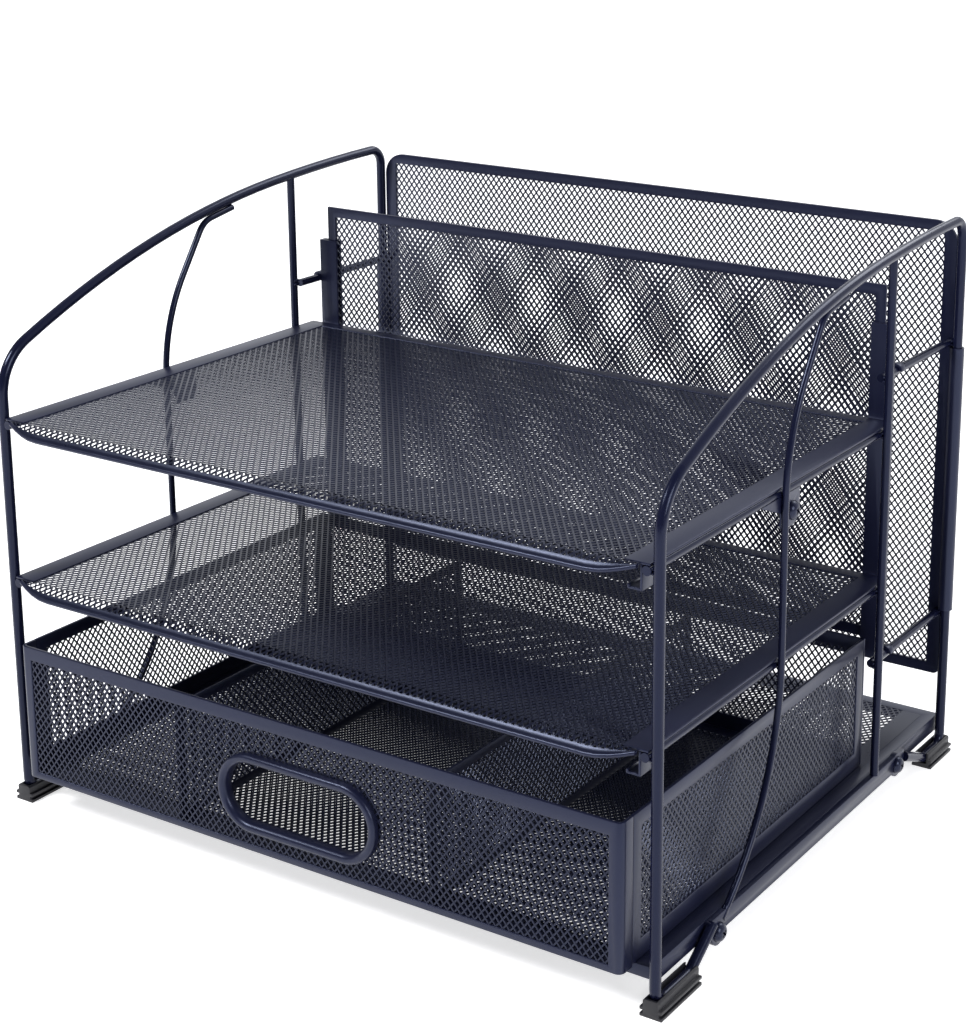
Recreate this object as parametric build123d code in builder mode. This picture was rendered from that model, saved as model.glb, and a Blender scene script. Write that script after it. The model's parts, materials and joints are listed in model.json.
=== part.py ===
"""Desk organizer of black coated wire and expanded mesh: two letter trays, an upright
file slot and a mesh drawer, carried by two bent-wire side frames.

X is to the right, Y to the back and Z up. The origin is on the floor, in the middle
of the footprint. Every size is in millimetres.
"""

import os
from math import cos, radians, sin, sqrt, tan

from build123d import *

os.makedirs("parts", exist_ok=True)

# ------------------------------------------------------------------ driving sizes
# side frames
frame_span = 330.0  # between the centre lines of the two outer wires
leg_depth = 263.5  # front leg to rear leg
shoulder_z = 188.4  # where the front leg starts to bend
shoulder_bend = 25.3  # bend at the top of the front leg
sweep_radius = 503.0  # front part of the long sweep over the top
sweep_start_slope = 24.8  # degrees, after the shoulder bend
sweep_end_slope = 5.4  # degrees, where the flatter crest takes over
crest_end_slope = 1.2  # degrees, before the rear bend
rear_bend = 8.0  # bend at the top of the rear leg
toe_bend = 6.0  # bends at the feet
outer_wire_d = 4.6
upright_wire_d = 3.8
stay_wire_d = 3.0
rail_wire_d = 3.8
wire_floor_z = 4.6  # centre line of the wire run inside a foot
front_foot_run = 25.5  # wire run on the floor behind the front leg
rear_foot_run = 19.0  # wire run on the floor before the rear leg
front_toe_run = 18.0  # how far the risen end goes on from the front foot
front_toe_z = 16.5  # height of the front foot's risen end
rear_toe_run = 22.0  # the same two for the rear foot
rear_toe_z = 14.0
upright_y = 191.0  # inner upright, from the front leg
stay_y = 97.9  # straight stretch of the curved stay, from the front leg
stay_top_z = 174.0
stay_bottom_z = 106.3
stay_top_bend = 85.8
stay_top_turn = 33.8  # degrees
stay_bottom_bend = 114.5
stay_bottom_turn = 53.3  # degrees
stay_tab = 20.0  # welded tab under the sweep
stay_tab_bend = 12.0
stay_foot_y = 55.5  # where the stay lands on the base bar, from the front leg

upper_rail_z = 177.3
lower_rail_z = 105.0
rear_upper_rail_z = 202.2
rear_lower_rail_z = 70.7  # flat bars and ears
bar_t = 2.6
bar_height = 7.6
bar_bottom_z = 10.4
bar_front_y = 41.0  # from the front leg
bar_rear_y = 222.0
bar_ear_r = 5.5
base_screw_front_y = 48.1
base_screw_rear_y = 214.5
base_screw_front_z = 10.8
base_screw_rear_z = 13.3
ear_t = 1.5
ear_lobe_r = 6.5
ear_reach_y = 8.8  # screw centre behind the stay
ear_drop_z = 9.1  # screw centre below the rail's centre line
ear_front_y = 20.0  # front end of the ear's top edge, before the stay

# screws and nuts
screw_d = 4.0
screw_head_d = 8.0
screw_head_h = 2.8
screw_clearance = 0.2  # around the shank in the plates
nut_af = 7.0  # across flats
nut_h = 3.0
screw_tip = 1.0  # shank past the nut

# trays
sheet_t = 1.0
mesh_t = 0.8
tray_front_y = -2.0  # front edge of the tray floor, from the front leg
tray_rear_y = 202.0
tray_side_gap = 0.5  # between the tray's side lip and the front leg
tray_lip_h = 6.0
tray_band_w = 6.0
tray_fall_inset = 4.2  # from the tray's side to the end of the front fall
tray_fall_y = 6.0  # how far the front lip comes forward
tray_fall_z = 4.6  # how far the front lip comes down
tray_roll_d = 2.0
hook_w = 8.0  # along Y
hook_t = 1.0
hook_y = -2.0  # front side of the hook, from the front leg
hook_drop = 6.4  # below the rail
hook_foot = 6.4  # inwards from the rail
hook_lip = 2.0
tab_w = 13.0

# base
base_top_z = 18.0
base_flange_h = 7.6  # sides and rear
base_lip_h = 5.1  # front
base_front_y = 1.5
base_rear_y = 266.1
base_band_w = 6.0  # drawer
drawer_side_gap = 7.4  # between the drawer and the legs
drawer_proud = 8.5  # front face before the front leg's centre line
drawer_back_y = 196.8
drawer_top_z = 79.5
drawer_front_bottom_z = 17.2
drawer_gap = 0.3  # running gap over the base
drawer_wall_t = 1.5
drawer_corner_r = 3.0  # upright corners of the front
drawer_return = 8.0  # how far the front turns back along the sides
drawer_band_w = 6.0
drawer_front_foot_w = 3.0  # lower band of the front
drawer_skirt_h = 8.0  # solid lower band of the walls
drawer_floor_band_w = 7.0
handle_w = 84.0
handle_h = 36.5
handle_z = 43.9
handle_ring_w = 5.6
handle_proud = 2.4  # ring before the front face
handle_inside = 1.4  # ring behind the front
partition_x = 66.0
partition_h = 53.0
partition_t = 1.2
partition_band_w = 4.0

# file divider and rear panel
panel_t = 1.6
divider_y = 206.5  # front face, from the front leg
divider_edge_gap = 4.4  # between the divider's edge and the rails
channel_w = 10.3
divider_bottom_z = 75.6
divider_top_z = 239.3
divider_band_w = 5.0
channel_t = 1.2
channel_top_z = 222.3
channel_hook_gap = 0.1  # between a channel's hook and the rail
rear_bottom_z = 38.6
rear_top_z = 257.8
rear_side_band_w = 6.5
rear_corner_r = 11.0  # top corners
rear_foot_corner_r = 3.0  # bottom corners
rear_set_back = 1.0  # front face behind the rear leg's centre line
sleeve_t = 0.8
sleeve_gap = 0.2

# feet
foot_h = 7.6
foot_core_w = 7.0
foot_w = 9.8
fin_h = 1.3
fin_gap = 1.5
foot_toe = 3.4  # past the leg's centre line
foot_heel = 1.5  # past the wire run
foot_round = 1.0  # expanded mesh: pitches of the openings, and the strand between two of them
strand_w = 2.6
sheet_pitch_w = 38.0  # trays, base, drawer floor, divider and rear panel
sheet_pitch_h = 52.0
drawer_pitch_w = 31.0  # drawer walls
drawer_pitch_h = 32.0
lip_pitch = 20.0  # slots in the front fall of a tray

# ------------------------------------------------------------------ worked-out places
half_span = frame_span / 2
front_reach = drawer_proud + handle_proud
front_y = (front_reach - foot_toe - leg_depth) / 2
rear_y = front_y + leg_depth
outer_r = outer_wire_d / 2
rail_r = rail_wire_d / 2
leg_inner_x = half_span - outer_r  # the inside of the legs
rail_x = leg_inner_x - rail_r
stay_x = leg_inner_x + stay_wire_d / 2
upright_x = leg_inner_x + upright_wire_d / 2
bar_inner_x = leg_inner_x - 0.1 * sheet_t
bar_top_z = bar_bottom_z + bar_height
tray_half_w = leg_inner_x - tray_side_gap
drawer_half_w = leg_inner_x - drawer_side_gap
channel_outer_x = rail_x - rail_r
divider_half_w = channel_outer_x - divider_edge_gap
base_half_w = bar_inner_x
divider_front_y = front_y + divider_y
rear_panel_y = rear_y + rear_set_back
drawer_front_y = front_y - drawer_proud
drawer_inner_y = drawer_front_y + drawer_wall_t
drawer_rear_y = front_y + drawer_back_y
drawer_floor_z = base_top_z + drawer_gap
SIDES = (("left", -1), ("right", 1))


def save(piece, name):
    """Label one finished piece and write it under its own name."""
    piece.part.label = name
    export_step(piece.part, f"parts/{name}.step")


def mesh_openings(width, height, nominal_w, nominal_h):
    """Cut staggered rhombic openings, with straight strands between them."""
    across = max(1, round(width / nominal_w))
    up = max(1, round(height / nominal_h))
    pitch_x, pitch_y = width / across, height / up
    slant = sqrt(pitch_x**2 + pitch_y**2)
    open_x = pitch_x - strand_w * slant / pitch_y
    open_y = pitch_y - strand_w * slant / pitch_x
    corners = [(open_x / 2, 0), (0, open_y / 2), (-open_x / 2, 0), (0, -open_y / 2)]
    with GridLocations(pitch_x, pitch_y, across, up):
        Polygon(*corners, align=None, mode=Mode.SUBTRACT)
    if across > 1 and up > 1:
        with GridLocations(pitch_x, pitch_y, across - 1, up - 1):
            Polygon(*corners, align=None, mode=Mode.SUBTRACT)


def reach(centre, distance, angle):
    """The point at a distance and an angle from a centre, in the side's own plane."""
    return (centre[0] + distance * cos(radians(angle)), centre[1] + distance * sin(radians(angle)))


# ------------------------------------------------------------------ side frames
# three bends that run into each other: shoulder, sweep and crest
sweep_angle = 90 + sweep_start_slope
crest_angle = 90 + sweep_end_slope
rear_angle = 90 + crest_end_slope
shoulder_centre = (front_y + shoulder_bend, shoulder_z)
sweep_centre = reach(shoulder_centre, shoulder_bend - sweep_radius, sweep_angle)
rear_bend_y = rear_y - rear_bend
crest_share = cos(radians(rear_angle)) - cos(radians(crest_angle))
crest_left = rear_bend_y - sweep_centre[0] + rear_bend * cos(radians(rear_angle))
crest_radius = (crest_left - sweep_radius * cos(radians(crest_angle))) / crest_share
crest_centre = reach(sweep_centre, sweep_radius - crest_radius, crest_angle)
crest_start = reach(sweep_centre, sweep_radius, crest_angle)
rear_bend_centre = reach(crest_centre, crest_radius - rear_bend, rear_angle)
toe_front = front_y + front_foot_run
toe_rear = rear_y - rear_foot_run
bar_start_y = front_y + bar_front_y
bar_end_y = front_y + bar_rear_y
base_screws_yz = (
    (front_y + base_screw_front_y, base_screw_front_z),
    (front_y + base_screw_rear_y, base_screw_rear_z),
)


def crown_z(y):
    """Centre line height of the long sweep at a place along the depth."""
    if y < crest_start[0]:
        return sweep_centre[1] + sqrt(sweep_radius**2 - (y - sweep_centre[0]) ** 2)
    return crest_centre[1] + sqrt(crest_radius**2 - (y - crest_centre[0]) ** 2)


for side, sx in SIDES:
    wire_plane = Plane.YZ.offset(sx * half_span)
    rail_plane_x = sx * rail_x

    # one wire, bent into both feet, both legs and the sweep over the top
    with BuildPart() as outer_wire:
        with BuildLine(wire_plane) as outer_route:
            FilletPolyline(
                (toe_front + front_toe_run, front_toe_z),
                (toe_front, wire_floor_z),
                (front_y, wire_floor_z),
                (front_y, shoulder_z),
                radius=toe_bend,
            )
            CenterArc(shoulder_centre, shoulder_bend, 180, sweep_angle - 180)
            CenterArc(sweep_centre, sweep_radius, sweep_angle, crest_angle - sweep_angle)
            CenterArc(crest_centre, crest_radius, crest_angle, rear_angle - crest_angle)
            CenterArc(rear_bend_centre, rear_bend, rear_angle, -rear_angle)
            FilletPolyline(
                (rear_y, rear_bend_centre[1]),
                (rear_y, wire_floor_z),
                (toe_rear, wire_floor_z),
                (toe_rear - rear_toe_run, rear_toe_z),
                radius=toe_bend,
            )
        with BuildSketch(Plane(origin=outer_route.line @ 0, z_dir=outer_route.line % 0)):
            Circle(outer_r)
        sweep(path=outer_route.line)
    save(outer_wire, f"{side}_outer_wire")

    # flat bar along the foot of the side, with a drilled ear at each end
    with BuildPart() as base_bar:
        with BuildSketch(Plane.YZ.offset(sx * bar_inner_x)) as bar_outline:
            with Locations((bar_start_y, bar_bottom_z)):
                Rectangle(bar_end_y - bar_start_y, bar_height, align=(Align.MIN, Align.MIN))
            with Locations(*base_screws_yz):
                Circle(bar_ear_r)
            with Locations(*base_screws_yz):
                Circle(screw_d / 2 + screw_clearance, mode=Mode.SUBTRACT)
        extrude(amount=sx * bar_t)
        add(outer_wire.part, mode=Mode.SUBTRACT)
    save(base_bar, f"{side}_base_bar")

    # straight upright between the base bar and the sweep
    with BuildPart() as upright:
        with BuildSketch(Plane.XY.offset(bar_top_z)):
            with Locations((sx * upright_x, front_y + upright_y)):
                Circle(upright_wire_d / 2)
        extrude(amount=crown_z(front_y + upright_y) - bar_top_z)
        add(outer_wire.part, mode=Mode.SUBTRACT)
    save(upright, f"{side}_upright_wire")

    # curved stay: a tab under the sweep, a straight stretch, and a curve to the bar
    tab_drop = outer_r + stay_wire_d / 2
    top_centre = (front_y + stay_y + stay_top_bend, stay_top_z)
    top_meet = reach(top_centre, stay_top_bend, 180 - stay_top_turn)
    low_centre = (front_y + stay_y - stay_bottom_bend, stay_bottom_z)
    low_meet = reach(low_centre, stay_bottom_bend, -stay_bottom_turn)
    crown_rise = (crown_z(top_meet[0] + stay_tab) - crown_z(top_meet[0])) / stay_tab
    tab_rise = crown_z(top_meet[0]) - tab_drop - top_meet[1]
    tab_start_y = top_meet[0] + tab_rise / (tan(radians(90 - stay_top_turn)) - crown_rise)
    tab_start = (tab_start_y, crown_z(tab_start_y) - tab_drop)
    tab_end_y = tab_start_y + stay_tab
    tab_end = (tab_end_y, crown_z(tab_end_y) - tab_drop)
    with BuildPart() as stay:
        with BuildLine(Plane.YZ.offset(sx * stay_x)) as stay_route:
            FilletPolyline(tab_end, tab_start, top_meet, radius=stay_tab_bend)
            CenterArc(top_centre, stay_top_bend, 180 - stay_top_turn, stay_top_turn)
            Line((front_y + stay_y, stay_top_z), (front_y + stay_y, stay_bottom_z))
            CenterArc(low_centre, stay_bottom_bend, 0, -stay_bottom_turn)
            Line(low_meet, (front_y + stay_foot_y, bar_top_z))
        with BuildSketch(Plane(origin=stay_route.line @ 0, z_dir=stay_route.line % 0)):
            Circle(stay_wire_d / 2)
        sweep(path=stay_route.line)
        add(base_bar.part, mode=Mode.SUBTRACT)
        add(outer_wire.part, mode=Mode.SUBTRACT)
    save(stay, f"{side}_stay_wire")

    # straight rails, welded to the inside of the legs and uprights
    rails = (
        ("upper_tray_rail", upper_rail_z, front_y - outer_r, front_y + upright_y + outer_r),
        ("lower_tray_rail", lower_rail_z, front_y - outer_r, front_y + upright_y + outer_r),
        ("rear_upper_rail", rear_upper_rail_z, front_y + upright_y, rear_y + rear_set_back),
        ("rear_lower_rail", rear_lower_rail_z, front_y + upright_y, rear_y + rear_set_back),
    )
    for rail_name, rail_z, rail_start, rail_end in rails:
        with BuildPart() as rail:
            with BuildSketch(Plane.XZ.offset(-rail_start)):
                with Locations((rail_plane_x, rail_z)):
                    Circle(rail_r)
            extrude(amount=rail_start - rail_end)
        save(rail, f"{side}_{rail_name}")

    # ear plate under the upper rail, for the screw that holds the tray
    screw_y = front_y + stay_y + ear_reach_y
    screw_z = upper_rail_z - ear_drop_z
    ear_top_z = upper_rail_z
    with BuildPart() as tray_ear:
        with BuildSketch(Plane.YZ.offset(sx * leg_inner_x)):
            with BuildLine():
                Polyline(
                    (screw_y + ear_lobe_r, screw_z),
                    (screw_y + ear_lobe_r, ear_top_z),
                    (front_y + stay_y - ear_front_y, ear_top_z),
                    (screw_y - ear_lobe_r, screw_z),
                )
                ThreePointArc(
                    (screw_y - ear_lobe_r, screw_z),
                    (screw_y, screw_z - ear_lobe_r),
                    (screw_y + ear_lobe_r, screw_z),
                )
            make_face()
            with Locations((screw_y, screw_z)):
                Circle(screw_d / 2 + screw_clearance, mode=Mode.SUBTRACT)
        extrude(amount=-sx * ear_t)
        with BuildSketch(Plane.XZ.offset(-front_y)):
            with Locations((rail_plane_x, upper_rail_z)):
                Circle(rail_r)
        extrude(amount=-leg_depth, mode=Mode.SUBTRACT)
        with BuildSketch(Plane.XY.offset(ear_top_z)):
            with Locations((sx * half_span, screw_y)):
                Rectangle(frame_span, leg_depth)
        extrude(amount=-rail_r / 2, mode=Mode.SUBTRACT)
    save(tray_ear, f"{side}_tray_ear")

    # clip-on foot with fins, pushed over the wire run
    foot_places = (
        ("front", front_y - foot_toe, toe_front + foot_heel, front_y - outer_r, toe_front + foot_heel),
        ("rear", toe_rear - foot_heel, rear_y + foot_toe, toe_rear - foot_heel, rear_y + outer_r),
    )
    for end, foot_start, foot_end, slot_start, slot_end in foot_places:
        with BuildPart() as foot:
            with BuildSketch(Plane.XZ.offset(-foot_start)):
                with Locations((sx * half_span, foot_h / 2)):
                    RectangleRounded(foot_core_w, foot_h, foot_round)
                fin_zs = [fin_h / 2, fin_h * 1.5 + fin_gap]
                with Locations(*[(sx * half_span, z) for z in fin_zs]):
                    Rectangle(foot_w, fin_h)
            extrude(amount=foot_start - foot_end)
            # slot that the wire run is pushed into
            with BuildSketch(Plane.XY.offset(foot_h)):
                with Locations((sx * half_span, (slot_start + slot_end) / 2)):
                    Rectangle(outer_wire_d, slot_end - slot_start)
            extrude(amount=wire_floor_z - outer_r - foot_h, mode=Mode.SUBTRACT)
        save(foot, f"{end}_{side}_foot")


# ------------------------------------------------------------------ letter trays
def build_tray(level, rail_z, ear_tab):
    """One tray: banded floor with lips, its mesh, the front fall, roll and hooks."""
    floor_z = rail_z + rail_r
    start_y, end_y = front_y + tray_front_y, front_y + tray_rear_y
    length = end_y - start_y
    mid_y = (start_y + end_y) / 2
    width = 2 * tray_half_w
    mesh_w, mesh_l = width - 2 * tray_band_w, length - tray_band_w
    mesh_mid_y = start_y + mesh_l / 2

    with BuildPart() as rim:
        with BuildSketch(Plane.XY.offset(floor_z)):
            with Locations((0, mid_y)):
                Rectangle(width, length)
            with Locations((0, mesh_mid_y)):
                Rectangle(mesh_w, mesh_l, mode=Mode.SUBTRACT)
        extrude(amount=sheet_t)
        with BuildSketch(Plane.XY.offset(floor_z + sheet_t)):
            for sx in (-1, 1):
                with Locations((sx * (tray_half_w - sheet_t / 2), mid_y)):
                    Rectangle(sheet_t, length)
            with Locations((0, end_y - sheet_t / 2)):
                Rectangle(width, sheet_t)
        extrude(amount=tray_lip_h - sheet_t)
        if ear_tab:
            plate_x = leg_inner_x - ear_t
            inner_x = rail_x - rail_r
            foot_z = rail_z - ear_drop_z - ear_lobe_r
            knee_z = rail_z - rail_r
            for sx in (-1, 1):
                with BuildSketch(Plane.XZ.offset(-(screw_y - tab_w / 2))):
                    with BuildLine():
                        Polyline(
                            (sx * inner_x, floor_z),
                            (sx * inner_x, knee_z),
                            (sx * plate_x, knee_z),
                            (sx * plate_x, foot_z),
                            (sx * (plate_x - sheet_t), foot_z),
                            (sx * (plate_x - sheet_t), knee_z - sheet_t),
                            (sx * (inner_x - sheet_t), knee_z - sheet_t),
                            (sx * (inner_x - sheet_t), floor_z),
                            close=True,
                        )
                    make_face()
                extrude(amount=-tab_w)
            with BuildSketch(Plane.YZ.offset(-half_span)):
                with Locations((screw_y, screw_z)):
                    Circle(screw_d / 2 + screw_clearance)
            extrude(amount=frame_span, mode=Mode.SUBTRACT)
    save(rim, f"{level}_tray_rim")

    with BuildPart() as mesh:
        with BuildSketch(Plane(origin=(0, mesh_mid_y, floor_z))):
            Rectangle(mesh_w, mesh_l)
            mesh_openings(mesh_w, mesh_l, sheet_pitch_w, sheet_pitch_h)
        extrude(amount=mesh_t)
    save(mesh, f"{level}_tray_mesh")

    # the front fall: a strip of mesh that curves down to the rolled edge
    fall_w = width - 2 * tray_fall_inset
    lip_slots = max(1, round(fall_w / lip_pitch))
    top_z = floor_z + mesh_t
    with BuildPart() as fall:
        with BuildSketch(Plane.YZ.offset(-fall_w / 2)):
            with BuildLine():
                outer = EllipticalCenterArc(
                    (start_y, top_z - tray_fall_z),
                    tray_fall_y,
                    tray_fall_z,
                    start_angle=90,
                    arc_size=90,
                )
                inner = EllipticalCenterArc(
                    (start_y, top_z - tray_fall_z),
                    tray_fall_y - mesh_t,
                    tray_fall_z - mesh_t,
                    start_angle=90,
                    arc_size=90,
                )
                Line(outer @ 0, inner @ 0)
                Line(outer @ 1, inner @ 1)
            make_face()
        extrude(amount=fall_w)
        with BuildSketch(Plane.XY.offset(floor_z - tray_fall_z)):
            with Locations((0, start_y - tray_fall_y / 2)):
                with GridLocations(fall_w / lip_slots, 0, lip_slots, 1):
                    Rectangle(fall_w / lip_slots - strand_w, tray_fall_y / 2)
        extrude(amount=2 * tray_fall_z, mode=Mode.SUBTRACT)
    save(fall, f"{level}_tray_front_mesh")

    roll_y = start_y - tray_fall_y + mesh_t / 2
    roll_z = top_z - tray_fall_z - tray_roll_d / 2
    with BuildPart() as roll:
        with BuildSketch(Plane.YZ.offset(-fall_w / 2)):
            with Locations((roll_y, roll_z)):
                Circle(tray_roll_d / 2)
        extrude(amount=fall_w)
    save(roll, f"{level}_tray_rolled_edge")

    # hooks at the front corners: down the inside of the rails, then a short foot and lip
    hook_x = rail_x - rail_r
    hook_foot_z = rail_z - rail_r - hook_drop
    with BuildPart() as hooks:
        for sx in (-1, 1):
            with BuildSketch(Plane.XZ.offset(-(front_y + hook_y))):
                with BuildLine():
                    Polyline(
                        (sx * hook_x, floor_z),
                        (sx * hook_x, hook_foot_z),
                        (sx * (hook_x - hook_foot), hook_foot_z),
                        (sx * (hook_x - hook_foot), hook_foot_z + hook_lip),
                        (sx * (hook_x - hook_foot + hook_t), hook_foot_z + hook_lip),
                        (sx * (hook_x - hook_foot + hook_t), hook_foot_z + hook_t),
                        (sx * (hook_x - hook_t), hook_foot_z + hook_t),
                        (sx * (hook_x - hook_t), floor_z),
                        close=True,
                    )
                make_face()
            extrude(amount=-hook_w)
    save(hooks, f"{level}_tray_hooks")


build_tray("upper", upper_rail_z, ear_tab=True)
build_tray("lower", lower_rail_z, ear_tab=False)

# ------------------------------------------------------------------ base
base_length = base_rear_y - base_front_y
base_mid_y = front_y + (base_front_y + base_rear_y) / 2
base_mesh_w = 2 * (base_half_w - base_band_w)
base_mesh_l = base_length - 2 * base_band_w

with BuildPart() as base_rim:
    with BuildSketch(Plane.XY.offset(base_top_z - sheet_t)):
        with Locations((0, base_mid_y)):
            Rectangle(2 * base_half_w, base_length)
            Rectangle(base_mesh_w, base_mesh_l, mode=Mode.SUBTRACT)
    extrude(amount=sheet_t)
    with BuildSketch(Plane.XY.offset(base_top_z - sheet_t)):
        with Locations((0, base_mid_y)):
            Rectangle(2 * base_half_w, base_length)
            Rectangle(2 * (base_half_w - sheet_t), base_length - 2 * sheet_t, mode=Mode.SUBTRACT)
    extrude(amount=sheet_t - base_flange_h)
    # the front lip is lower than the side flanges
    with BuildSketch(Plane.XY.offset(base_top_z - base_flange_h)):
        with Locations((0, front_y + base_front_y + sheet_t / 2)):
            Rectangle(2 * (base_half_w - sheet_t), sheet_t)
    extrude(amount=base_flange_h - base_lip_h, mode=Mode.SUBTRACT)
    for sx in (-1, 1):
        with BuildSketch(Plane.YZ.offset(sx * base_half_w)):
            with Locations(*base_screws_yz):
                Circle(bar_ear_r)
            with Locations((0, base_top_z)):
                Rectangle(leg_depth, leg_depth, align=(Align.CENTER, Align.MAX), mode=Mode.INTERSECT)
        extrude(amount=-sx * sheet_t)
    with BuildSketch(Plane.YZ.offset(-half_span)):
        with Locations(*base_screws_yz):
            Circle(screw_d / 2 + screw_clearance)
    extrude(amount=frame_span, mode=Mode.SUBTRACT)
save(base_rim, "base_rim")

with BuildPart() as base_mesh:
    with BuildSketch(Plane(origin=(0, base_mid_y, base_top_z))):
        Rectangle(base_mesh_w, base_mesh_l)
        mesh_openings(base_mesh_w, base_mesh_l, sheet_pitch_w, sheet_pitch_h)
    extrude(amount=-mesh_t)
save(base_mesh, "base_mesh")

# ------------------------------------------------------------------ drawer
drawer_front_h = drawer_top_z - drawer_front_bottom_z
front_open_w = 2 * (drawer_half_w - drawer_band_w)
front_open_h = drawer_front_h - drawer_band_w - drawer_front_foot_w
front_mid_z = (drawer_top_z + drawer_front_bottom_z) / 2
front_open_z = (drawer_top_z - drawer_band_w + drawer_front_bottom_z + drawer_front_foot_w) / 2
mesh_y = drawer_front_y + (drawer_wall_t - mesh_t) / 2

with BuildPart() as drawer_front_frame:
    # the front turns back round both upright corners
    with BuildSketch(Plane.XY.offset(drawer_front_bottom_z)):
        with Locations((0, drawer_front_y + drawer_return)):
            RectangleRounded(2 * drawer_half_w, 2 * drawer_return, drawer_corner_r)
            RectangleRounded(
                2 * (drawer_half_w - drawer_wall_t),
                2 * (drawer_return - drawer_wall_t),
                drawer_corner_r - drawer_wall_t,
                mode=Mode.SUBTRACT,
            )
            Rectangle(
                2 * drawer_half_w,
                drawer_return,
                align=(Align.CENTER, Align.MIN),
                mode=Mode.SUBTRACT,
            )
    extrude(amount=drawer_front_h)
    with BuildSketch(Plane.XZ.offset(-drawer_front_y)):
        with Locations((0, front_open_z)):
            Rectangle(front_open_w, front_open_h)
    extrude(amount=-drawer_wall_t, mode=Mode.SUBTRACT)
save(drawer_front_frame, "drawer_front_frame")

with BuildPart() as drawer_front_mesh:
    with BuildSketch(Plane(origin=(0, mesh_y, front_open_z), x_dir=(1, 0, 0), z_dir=(0, -1, 0))):
        Rectangle(front_open_w, front_open_h)
        mesh_openings(front_open_w, front_open_h, drawer_pitch_w, drawer_pitch_h)
        with Locations((0, handle_z - front_open_z)):
            SlotOverall(handle_w + 2 * strand_w, handle_h + 2 * strand_w)
            SlotOverall(handle_w, handle_h, mode=Mode.SUBTRACT)
    extrude(amount=-mesh_t)
save(drawer_front_mesh, "drawer_front_mesh")

with BuildPart() as handle_ring:
    with BuildSketch(Plane.XZ.offset(-(drawer_front_y - handle_proud))):
        with Locations((0, handle_z)):
            SlotOverall(handle_w, handle_h)
            SlotOverall(handle_w - 2 * handle_ring_w, handle_h - 2 * handle_ring_w, mode=Mode.SUBTRACT)
    extrude(amount=-(handle_proud + drawer_wall_t + handle_inside))
    chamfer(handle_ring.edges().group_by(Axis.Y)[0], handle_proud / 2)
save(handle_ring, "drawer_handle_ring")

wall_h = drawer_top_z - drawer_floor_z
wall_z = (drawer_top_z + drawer_floor_z) / 2
open_h = wall_h - drawer_band_w - drawer_skirt_h
open_z = (drawer_top_z - drawer_band_w + drawer_floor_z + drawer_skirt_h) / 2


def build_wall(name, origin, across, length):
    """One banded drawer wall and the mesh that fills it; origin is its outer face."""
    inward = Vector(*across).cross(Vector(0, 0, 1)) * -1
    face = Plane(origin=(origin[0], origin[1], 0), x_dir=across, z_dir=inward * -1)
    open_w = length - 2 * drawer_band_w
    with BuildPart() as band:
        with BuildSketch(face):
            with Locations((0, wall_z)):
                Rectangle(length, wall_h)
            with Locations((0, open_z)):
                Rectangle(open_w, open_h, mode=Mode.SUBTRACT)
        extrude(amount=-drawer_wall_t)
    save(band, f"drawer_{name}")
    deep = face.offset(-(drawer_wall_t - mesh_t) / 2)
    with BuildPart() as mesh:
        with BuildSketch(deep):
            with Locations((0, open_z)):
                Rectangle(open_w, open_h)
                mesh_openings(open_w, open_h, drawer_pitch_w, drawer_pitch_h)
        extrude(amount=-mesh_t)
    save(mesh, f"drawer_{name}_mesh")


side_end_y = drawer_rear_y - drawer_wall_t
side_length = side_end_y - drawer_inner_y
side_mid_y = (drawer_inner_y + side_end_y) / 2
wall_start_y = drawer_front_y + drawer_return
wall_mid_y = (wall_start_y + side_end_y) / 2
build_wall("left_side", (-drawer_half_w, wall_mid_y), (0, -1, 0), side_end_y - wall_start_y)
build_wall("right_side", (drawer_half_w, wall_mid_y), (0, 1, 0), side_end_y - wall_start_y)
build_wall("back", (0, drawer_rear_y), (-1, 0, 0), 2 * drawer_half_w)

floor_w = 2 * (drawer_half_w - drawer_wall_t)
floor_mesh_w = floor_w - 2 * drawer_floor_band_w
floor_mesh_l = side_length - 2 * drawer_floor_band_w
with BuildPart() as drawer_floor:
    with BuildSketch(Plane(origin=(0, side_mid_y, drawer_floor_z))):
        Rectangle(floor_w, side_length)
        Rectangle(floor_mesh_w, floor_mesh_l, mode=Mode.SUBTRACT)
    extrude(amount=sheet_t)
    add(drawer_front_frame.part, mode=Mode.SUBTRACT)
save(drawer_floor, "drawer_floor_frame")

with BuildPart() as drawer_floor_mesh:
    with BuildSketch(Plane(origin=(0, side_mid_y, drawer_floor_z))):
        Rectangle(floor_mesh_w, floor_mesh_l)
        mesh_openings(floor_mesh_w, floor_mesh_l, sheet_pitch_w, sheet_pitch_h)
    extrude(amount=mesh_t)
save(drawer_floor_mesh, "drawer_floor_mesh")

partition_z = drawer_floor_z + sheet_t
partition_open_h = partition_h - 2 * partition_band_w
partition_open_w = side_length - 2 * partition_band_w
for name, sx in SIDES:
    with BuildPart() as partition:
        plane = Plane.YZ.offset(sx * partition_x - partition_t / 2)
        with BuildSketch(plane):
            with Locations((side_mid_y, partition_z + partition_h / 2)):
                Rectangle(side_length, partition_h)
                mesh_openings(partition_open_w, partition_open_h, drawer_pitch_w, drawer_pitch_h)
        extrude(amount=partition_t)
    save(partition, f"drawer_{name}_partition")

# ------------------------------------------------------------------ file divider
divider_h = divider_top_z - divider_bottom_z
divider_mid_z = (divider_top_z + divider_bottom_z) / 2
divider_open_w = 2 * (divider_half_w - divider_band_w)
divider_open_h = divider_h - 2 * divider_band_w

with BuildPart() as divider_border:
    with BuildSketch(Plane.XZ.offset(-divider_front_y)):
        with Locations((0, divider_mid_z)):
            Rectangle(2 * divider_half_w, divider_h)
            Rectangle(divider_open_w, divider_open_h, mode=Mode.SUBTRACT)
    extrude(amount=-panel_t)
save(divider_border, "divider_border")

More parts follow.
